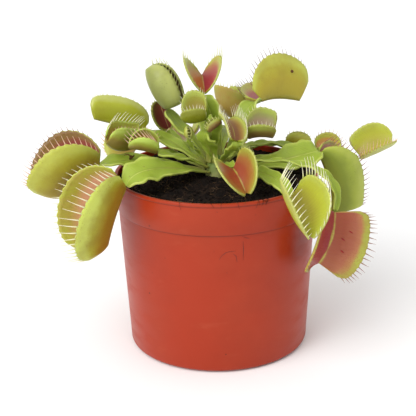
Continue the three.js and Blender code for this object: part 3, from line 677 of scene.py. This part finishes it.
def toothSkin(name):
    root, tip = toothLooks[name].split()
    material, tree, shader = livingTissue("tooth_" + name, roughness=0.45)
    body = addRamp(tree, addGroup(tree, "place")["Along"], [(0.0, root), (0.35, tip)])
    body = addMix(tree, addMath(tree, "MULTIPLY", addNoise(tree, 1200), 0.25), body, root)
    setInput(tree, shader, "Base Color", body)
    return material


blemishes = dict(
    scar="5a3a1c", nick="9c1c26",
    # the lobe, how far off its skin, the slant, and each mark's place (t, r), thickness and length
    top_right=dict(skin="scar", side=-1, out=-0.5, slant=0.55, marks=[(0.25, 0.62, 0.9, 1.6)]),
    low_right=dict(skin="nick", side=1, out=0.5, slant=2.5,
                   marks=[(-0.27, 0.5, 0.32, 2), (-0.08, 0.33, 0.3, 2.2), (0.18, 0.42, 0.34, 2.2)]),
    curl=dict(at=0.62, lift=0.6, turn=4.2, thick=0.42, wisps=[(-0.9, 3.4), (0.3, 2.6), (1.2, 3)]))


def lobeSpot(leaf, side, t, r, out):
    # a place on a lobe, lifted off its skin by out, and the two ways that the skin runs there
    place = trapMatrix(leaf)
    spots = [place @ lobePoint(leaf, side, *at) for at in ((t, r), (t + 0.02, r), (t, r + 0.02))]
    onward, upward = spots[1] - spots[0], spots[2] - spots[0]
    face = onward.cross(upward).normalized() * side
    return spots[0] + face * out, onward.normalized(), upward.normalized()


def makeBlemishes(strand):
    # a brown scar, three dark red nicks, and a withered tip curled up on a blade
    skins = dict(scar=livingTissue("scar", 0.8, Base_Color=blemishes["scar"])[0],
                 nick=livingTissue("nick", 0.5, Base_Color=blemishes["nick"])[0])
    byName = {leaf["name"]: leaf for leaf in leaves}
    for name in ("top_right", "low_right"):
        leaf, look = byName[name], blemishes[name]
        bm = bmesh.new()
        for t, r, thick, length in look["marks"]:
            spot, onward, upward = lobeSpot(leaf, look["side"], t, r, look["out"])
            way = (onward + upward * look["slant"]).normalized() * length
            stampStrand(bm, strand, lambda z: spot + way * (z - 0.5),
                        lambda z: thick * (1 - 0.8 * abs(2 * z - 1)))
        makePiece(name + "_marks", bm, [skins[look["skin"]]], name + "_trap")
    leaf, look = byName["far_left"], blemishes["curl"]
    path = bladePath(leaf)
    foot = curvePoint(path, look["at"]) + bladeFrame(leaf, path, look["at"])[2] * look["lift"]
    bm = bmesh.new()
    for lean, reach in look["wisps"]:
        def curl(z):
            turn = look["turn"] * z
            rise = 0.7 * reach * math.sin(turn / 2) + 0.2
            return foot + Vector((2 * lean * z + 0.8 * math.sin(turn), -z, rise))

        stampStrand(bm, strand, curl, lambda z: look["thick"] * (1 - 0.6 * z))
    makePiece("far_left_curl", bm, [skins["scar"]], "far_left_blade")


def growPlant():
    green = bladeSkin()
    outsides = {name: lobeOutside(name) for name in lobeLooks}
    insides = {}
    teeth = {name: toothSkin(name) for name in toothLooks}
    strand = makeStrand(sides=6, rings=5)
    slots = {s["node"]: s["material_slot"] for s in frame["record"]["subparts"]}
    for leaf in leaves:
        leaf["slot"] = slots[leaf["name"] + "_trap"]
        makeBlade(leaf, green)
        outside, inside, tooth = leaf["look"].split()
        pair = inside, leaf.get("farInside", inside)
        insides[pair] = insides.get(pair) or lobeInside(*pair)
        makeLobes(leaf, insides[pair], outsides[outside])
        makeTeeth(leaf, [teeth[tooth], teeth[leaf.get("farToothLook", tooth)]], strand)
    makeBlemishes(strand)
    print("leaves grown:", len(leaves))


crownLook = dict(low="a5a468", high="6f8a34", dark="58702a", lowAt=0.076, highAt=0.085)


def makeCrown():
    material, tree, shader = livingTissue("crownSkin", roughness=0.5)
    place = addNode(tree, "ShaderNodeTexCoord").outputs["Object"]
    height = addNode(tree, "ShaderNodeSeparateXYZ", {0: place}).outputs[2]
    rise = addRange(tree, height, crownLook["lowAt"], crownLook["highAt"])
    body = addMix(tree, rise, crownLook["low"], crownLook["high"])
    body = addGroup(tree, "mottle", Color=body, Dark=crownLook["dark"], Scale=200, Amount=0.5)[0]
    setInput(tree, shader, "Base Color", body)
    makePiece("crown_heart", turnProfile(crown["profile"], crown["segments"]), [material], "crown")


# pot

pot = dict(
    height=78.5, rim=45, bandHeight=14.3, bandStep=0.7, lipHeight=1.5, lipStep=0.35, base=39.9, wall=1.3,
    floor=2.8, baseRound=1.6, channelWidth=13, channelDepth=1.4, channelStart=17,
    channelTurns=(20, 110, 200, 290), drainRadius=3, drainDistance=29, segments=144, sharpFrom=40)
# the last colour is the dark one of the specks, and also of the painted shade lines under the collar and the
# lip
potLook = dict(clay="9d2f12", pale="a63e20", deep="8b290e", scuff="b0593f", speckAndPaintedShade="4c1c12")


def wallRadius(height):
    top = pot["height"] - pot["bandHeight"]
    return mix(pot["base"], pot["rim"] - 2 * pot["bandStep"], height / top)


def potProfile():
    # the corners of the wall, from the middle of the underside out, up, over the rim and back
    bandFoot = pot["height"] - pot["bandHeight"]
    lipFoot = pot["height"] - pot["lipHeight"]
    floorEdge = wallRadius(pot["floor"]) - pot["wall"]
    rim, wall, height, corner = pot["rim"], pot["wall"], pot["height"], pot["baseRound"]
    turn = (1, 0), (0.62, 0.08), (0.3, 0.3), (0.08, 0.62)
    return [
        (0, 0), (20, 0), *[(pot["base"] - a * corner, b * corner) for a, b in turn],
        (wallRadius(corner), corner),
        (wallRadius(20), 20), (wallRadius(40), 40), (wallRadius(bandFoot - 0.4), bandFoot - 0.4),
        (wallRadius(bandFoot), bandFoot),
        (rim - pot["bandStep"] - 0.2, bandFoot + 0.15), (rim - pot["bandStep"], bandFoot + 0.5),
        (mix(rim - pot["bandStep"], rim - pot["lipStep"], 0.5), bandFoot + 6.4),
        (rim - pot["lipStep"], lipFoot - 0.1), (rim - pot["lipStep"], lipFoot),
        (rim - 0.06, lipFoot + 0.22), (rim, lipFoot + 0.4), (rim, height - 0.45),
        (rim - 0.14, height - 0.12), (rim - 0.45, height),
        (rim - wall, height), (rim - wall - 0.25, height - 0.2), (rim - wall - 0.35, lipFoot),
        (wallRadius(bandFoot) - wall, bandFoot - 1), (floorEdge - 0.8, pot["floor"] + 0.8),
        (floorEdge - 1.6, pot["floor"]), (0, pot["floor"]),
    ]


def potCutters():
    # the drain channels and holes, as one mesh to cut away
    bm = bmesh.new()
    reach = pot["base"] + 2 - pot["channelStart"]
    for turn in pot["channelTurns"]:
        spin = Matrix.Rotation(math.radians(turn), 4, "Z")
        size = Matrix.Diagonal((reach, pot["channelWidth"], 2 * pot["channelDepth"], 1))
        shift = Matrix.Translation((pot["channelStart"] + reach / 2, 0, 0))
        bmesh.ops.create_cube(bm, size=1, matrix=spin @ shift @ size)
        shift = Matrix.Translation((pot["drainDistance"], 0, 0))
        bmesh.ops.create_cone(bm, cap_ends=True, segments=24, radius1=pot["drainRadius"],
                              radius2=pot["drainRadius"], depth=4 * pot["floor"], matrix=spin @ shift)
    bmesh.ops.scale(bm, vec=(mm, mm, mm), verts=bm.verts)
    mesh = bpy.data.meshes.new("potCutters")
    bm.to_mesh(mesh)
    bm.free()
    cutter = bpy.data.objects.new("potCutters", mesh)
    bpy.context.scene.collection.objects.link(cutter)
    return cutter


def potPlastic():
    # satin moulded plastic: faint swirl in the colour, scuffs, painted shade lines under collar and lip,
    # specks
    look = potLook
    material, tree, shader = newMaterial("potPlastic", Roughness=0.38, IOR=1.46, Specular_IOR_Level=0.3,
                                         Subsurface_Weight=0.05, Subsurface_Radius=(1, 0.3, 0.15),
                                         Subsurface_Scale=0.001)
    place = addNode(tree, "ShaderNodeTexCoord").outputs["Object"]
    body = addGroup(tree, "mottle", Color=look["clay"], Dark=look["pale"], Scale=28, Amount=0.35)[0]
    body = addGroup(tree, "mottle", Color=body, Dark=look["deep"], Scale=60, Amount=0.25)[0]
    squash = addNode(tree, "ShaderNodeMapping", {"Vector": place, "Scale": (1, 1, 3)}).outputs[0]
    rubs = addNoise(tree, 60, 6, place=squash)
    rub = addMath(tree, "MULTIPLY", addRange(tree, rubs, 0.6, 0.8), 0.2)
    body = addMix(tree, rub, body, look["scuff"])
    height = addNode(tree, "ShaderNodeSeparateXYZ", {0: place}).outputs[2]
    # painted shade: a thin dark line just under the collar step and under the lip, where their shadow falls,
    # in the same dark colour as the specks
    for foot in (pot["height"] - pot["bandHeight"], pot["height"] - pot["lipHeight"]):
        away = addMath(tree, "ABSOLUTE", addMath(tree, "SUBTRACT", height, foot * mm))
        line = addMath(tree, "MULTIPLY", addRange(tree, away, 0.0001, 0.0006, toLow=1, toHigh=0), 0.36)
        body = addMix(tree, line, body, look["speckAndPaintedShade"])
    body = addGroup(tree, "specks", Color=body, Speck=look["speckAndPaintedShade"], Scale=110, Size=0.05, Amount=0.8)[0]
    setInput(tree, shader, "Base Color", body)
    setInput(tree, shader, "Roughness", addRange(tree, rubs, 0.4, 0.75, toLow=0.34, toHigh=0.52))
    addBump(tree, shader, addNoise(tree, 900, 4), strength=0.12, distance=0.0002)
    return material


potScratches = dict(
    radius=0.13, colour="5c1c0e",
    # each runs from one place on the wall to the next: degrees around, height
    runs=[[(-89.3, 53.5), (-87.7, 55.5), (-84.9, 57), (-80.2, 57.2)],
          [(-81.6, 56), (-79.9, 54.9), (-79.3, 52.2)],
          [(-76, 61.4), (-75.7, 57.3), (-75.9, 52.8)],
          [(-76.3, 63.6), (-74.3, 62.7), (-72, 62.2)],
          [(-90.4, 75.3), (-90, 75.1), (-89.7, 75.2)],
          [(-85.3, 47.4), (-85, 47.5), (-84.7, 47.3)]])


def outerRadius(height):
    bandFoot = pot["height"] - pot["bandHeight"]
    if height < bandFoot:
        return wallRadius(height)
    rise = (height - bandFoot) / (pot["bandHeight"] - pot["lipHeight"])
    return mix(pot["rim"] - pot["bandStep"], pot["rim"] - pot["lipStep"], rise)


def makeScratches():
    material = newMaterial("potScratch", Roughness=0.6, Base_Color=potScratches["colour"])[0]
    bm = bmesh.new()
    strand = makeStrand(sides=5, rings=8)
    for run in potScratches["runs"]:
        def path(z):
            k = min(len(run) - 2, int(z * (len(run) - 1)))
            part = z * (len(run) - 1) - k
            turn, height = (mix(a, b, part) for a, b in zip(run[k], run[k + 1]))
            radius, turn = outerRadius(height), math.radians(turn)
            return Vector((radius * math.cos(turn), radius * math.sin(turn), height))

        stampStrand(bm, strand, path, lambda z: potScratches["radius"] * (1 - 0.6 * abs(2 * z - 1)))
    makePiece("pot_scratches", bm, [material], "pot")


def makePot():
    piece = makePiece("pot_wall", turnProfile(potProfile(), pot["segments"]), [potPlastic()], "pot")
    cutter = potCutters()
    cut = piece.modifiers.new("channels", "BOOLEAN")
    cut.object = cutter
    cut.operation = "DIFFERENCE"
    bpy.context.view_layer.update()
    shaped = piece.evaluated_get(bpy.context.evaluated_depsgraph_get())
    mesh = bpy.data.meshes.new_from_object(shaped)
    piece.modifiers.clear()
    piece.data = mesh
    bpy.data.objects.remove(cutter)
    mesh.set_sharp_from_angle(angle=math.radians(pot["sharpFrom"]))
    makeScratches()
    print("pot turned:", len(mesh.polygons), "faces")


# peat

peat = dict(
    edge=76, rise=1.6, lump=0.55, clear=0.8, holeRadius=6.2, holeFloor=66, segments=150, rings=56,
    roughness=0.9, roughScale=0.33, scatterFrom=7, scatterGap=1.6,
    crumbs=1500, fibres=900, thick=(0.05, 0.13), strays=16, strayThick=0.11, seed=7)


def peatTop(x, y):
    radius = math.hypot(x, y)
    inner = pot["rim"] - pot["wall"]
    mound = peat["rise"] * max(0, 1 - radius / pot["rim"])
    edge = min(1, (inner - radius) / 6)
    lumps = math.sin(0.31 * x + 1) * math.cos(0.27 * y) + 0.6 * math.sin(0.55 * x - 0.47 * y)
    rough = noise.fractal(Vector((x, y, 3)) * peat["roughScale"], 0.7, 2.2, 5) * peat["roughness"]
    return peat["edge"] + mound + peat["lump"] * lumps * edge + rough * (0.4 + 0.6 * max(0, edge))


def peatSoil():
    material, tree, shader = newMaterial("peatSoil", Roughness=0.95, Specular_IOR_Level=0.15)
    clods = addNoise(tree, 420, 8, 0.7)
    body = addRamp(tree, clods, [(0.3, "0b0807"), (0.52, "1a120e"), (0.68, "33241b"), (0.8, "5a4433")])
    setInput(tree, shader, "Base Color", body)
    addBump(tree, shader, clods, strength=0.9, distance=0.0012)
    return material


def fibreSkin():
    material, tree, shader = newMaterial("peatFibre", Roughness=0.8, Specular_IOR_Level=0.2)
    body = addRamp(tree, addNoise(tree, 160),
                   [(0.35, "1d140f"), (0.5, "3b2a1e"), (0.62, "6b5138"), (0.75, "a88d6a")])
    setInput(tree, shader, "Base Color", body)
    return material


def makePeat():
    inner = pot["rim"] - pot["wall"] - peat["clear"]
    floorEdge = wallRadius(pot["floor"]) - pot["wall"] - 2.2
    foot, rings = pot["floor"] + 0.3, peat["rings"]
    outline = [(0, foot), (floorEdge, foot), (wallRadius(40) - pot["wall"] - peat["clear"], 40)]
    outline += [(inner - 0.2, 70)]
    outline += [(mix(inner, peat["holeRadius"], i / rings), peat["edge"]) for i in range(rings + 1)]
    outline += [(peat["holeRadius"], peat["holeFloor"]), (0, peat["holeFloor"])]
    bm = turnProfile(outline, peat["segments"])
    for vert in bm.verts:
        if vert.co.z > peat["edge"] - 1:
            vert.co.z = peatTop(vert.co.x, vert.co.y)
    makePiece("peat_bed", bm, [peatSoil()], "peat")
    makeCrumbs()
    makeFibres()
    print("peat filled in")


def peatSpot(rule):
    # an even scatter over the bed
    reach = pot["rim"] - pot["wall"] - peat["scatterGap"]
    radius = math.sqrt(rule.uniform(peat["scatterFrom"] ** 2, reach ** 2))
    turn = rule.uniform(0, 2 * math.pi)
    return radius * math.cos(turn), radius * math.sin(turn)


def makeCrumbs():
    rule = random.Random(peat["seed"])
    ball = bmesh.new()
    bmesh.ops.create_icosphere(ball, subdivisions=1, radius=1)
    template = bpy.data.meshes.new("crumb")
    ball.to_mesh(template)
    ball.free()
    bm = bmesh.new()
    for k in range(peat["crumbs"]):
        x, y = peatSpot(rule)
        size = 0.25 + 0.75 * rule.random() ** 3
        before = len(bm.verts)
        bm.from_mesh(template)
        bm.verts.ensure_lookup_table()
        axis = Vector((rule.random(), rule.random(), rule.random())).normalized()
        turn = Quaternion(axis, rule.uniform(0, 6))
        stretch = Vector((rule.uniform(0.7, 1.5), rule.uniform(0.7, 1.3), rule.uniform(0.5, 0.9)))
        for vert in bm.verts[before:]:
            bump = 1 + 0.35 * noise.noise(vert.co * 1.7 + Vector((k, 0, 0)))
            point = vert.co * stretch * size * bump
            point.rotate(turn)
            vert.co = point + Vector((x, y, peatTop(x, y) + 0.25 * size))
    makePiece("peat_crumbs", bm, [peatSoil()], "peat")


def makeFibres():
    rule = random.Random(peat["seed"] + 1)
    strand = makeStrand(sides=3, rings=5)
    bm = bmesh.new()
    limit = pot["rim"] - pot["wall"] - 0.6
    for k in range(peat["fibres"]):
        x, y = peatSpot(rule)
        turn = rule.uniform(0, 2 * math.pi)
        length = rule.uniform(1.5, 4.5) + 5 * rule.random() ** 4
        bend = rule.uniform(-0.5, 0.5) * length
        lift = rule.uniform(0.1, 0.7) if rule.random() < 0.85 else rule.uniform(0.8, 2.2)
        thick = rule.uniform(*peat["thick"])
        way = Vector((math.cos(turn), math.sin(turn), 0))
        aside = Vector((-way.y, way.x, 0))

        def path(z):
            spot = Vector((x, y, 0)) + way * length * (z - 0.5) + aside * bend * (z - 0.5) ** 2 * 2
            spot = spot * min(1, limit / max(spot.length, 1))
            spot.z = peatTop(spot.x, spot.y) + 0.1 + lift * 4 * z * (1 - z)
            return spot

        stampStrand(bm, strand, path, lambda z: thick * (1 - 0.6 * abs(2 * z - 1)))
    for k in range(peat["strays"]):
        # these hang over the rim, most of them in front on the right
        turn = math.radians(rule.uniform(-68, -60) if k % 3 else rule.uniform(-130, -50))
        fall, bend = rule.uniform(0.6, 3.2), rule.uniform(-2, 2)

        def path(z):
            radius = min(pot["rim"] + 0.15, pot["rim"] - 3.6 + 7 * z)
            height = pot["height"] + 0.15 - 1.6 * max(0, 0.35 - z) / 0.35 - fall * max(0, z - 0.6) / 0.4
            spin = turn + bend * z * z / pot["rim"]
            return Vector((radius * math.cos(spin), radius * math.sin(spin), height))

        stampStrand(bm, strand, path, lambda z: peat["strayThick"] * (1 - 0.5 * z))
    makePiece("peat_fibres", bm, [fibreSkin()], "peat")


# stage, light and camera

floorLook = dict(size=9, drop=0.0005, white=0.92, roughness=0.85)
light = dict(sky=0.85, sun=1.5, sunSoftness=50, sunFrom=(-0.5, -0.55, 0.75), lamp=2.5, lampSize=0.5,
             lampPlace=(-0.55, -0.65, 0.6), lampTarget=(0, 0, 0.07))


def makeStage():
    # the floor lies just under the pot
    bpy.ops.mesh.primitive_plane_add(size=floorLook["size"], location=(0, 0, -floorLook["drop"]))
    floor = bpy.context.object
    floor.name = "floor"
    white = floorLook["white"]
    material = newMaterial("paleFloor", Roughness=floorLook["roughness"], Base_Color=[white] * 3 + [1])[0]
    floor.data.materials.append(material)
    world = bpy.context.scene.world or bpy.data.worlds.new("World")
    bpy.context.scene.world = world
    world.use_nodes = True
    sky = world.node_tree.nodes["Background"]
    sky.inputs["Color"].default_value = (1, 1, 1, 1)
    sky.inputs["Strength"].default_value = light["sky"]


def makeLights():
    bpy.context.scene.view_settings.view_transform = "Standard"
    sun = bpy.data.objects.new("windowLight", bpy.data.lights.new("windowLight", "SUN"))
    sun.data.energy = light["sun"]
    sun.data.angle = math.radians(light["sunSoftness"])
    sun.rotation_euler = Vector(light["sunFrom"]).to_track_quat("Z", "Y").to_euler()
    lamp = bpy.data.objects.new("softboxLeft", bpy.data.lights.new("softboxLeft", "AREA"))
    lamp.data.shape = "DISK"
    lamp.data.size = light["lampSize"]
    lamp.data.energy = light["lamp"]
    lamp.location = light["lampPlace"]
    way = Vector(light["lampTarget"]) - Vector(light["lampPlace"])
    lamp.rotation_euler = way.to_track_quat("-Z", "Y").to_euler()
    for source in (sun, lamp):
        bpy.context.scene.collection.objects.link(source)


view = dict(place=(0, -0.5, 0.24), down=19.7, roll=-0.88, focal=1192, frameSize=416, offset=9, sensor=36)


def makeCamera():
    camera = bpy.data.objects.new("camera", bpy.data.cameras.new("camera"))
    camera.data.sensor_width = view["sensor"]
    camera.data.lens = view["sensor"] * view["focal"] / view["frameSize"]
    camera.data.shift_x = -view["offset"] / view["frameSize"]
    camera.data.clip_start = 0.01
    tip = Matrix.Rotation(math.radians(90 - view["down"]), 4, "X")
    roll = Matrix.Rotation(math.radians(view["roll"]), 4, "Z")
    camera.matrix_world = Matrix.Translation(view["place"]) @ tip @ roll
    bpy.context.scene.collection.objects.link(camera)
    bpy.context.scene.camera = camera


makePot()
makePeat()
makeCrown()
growPlant()
makeStage()
makeLights()
makeCamera()
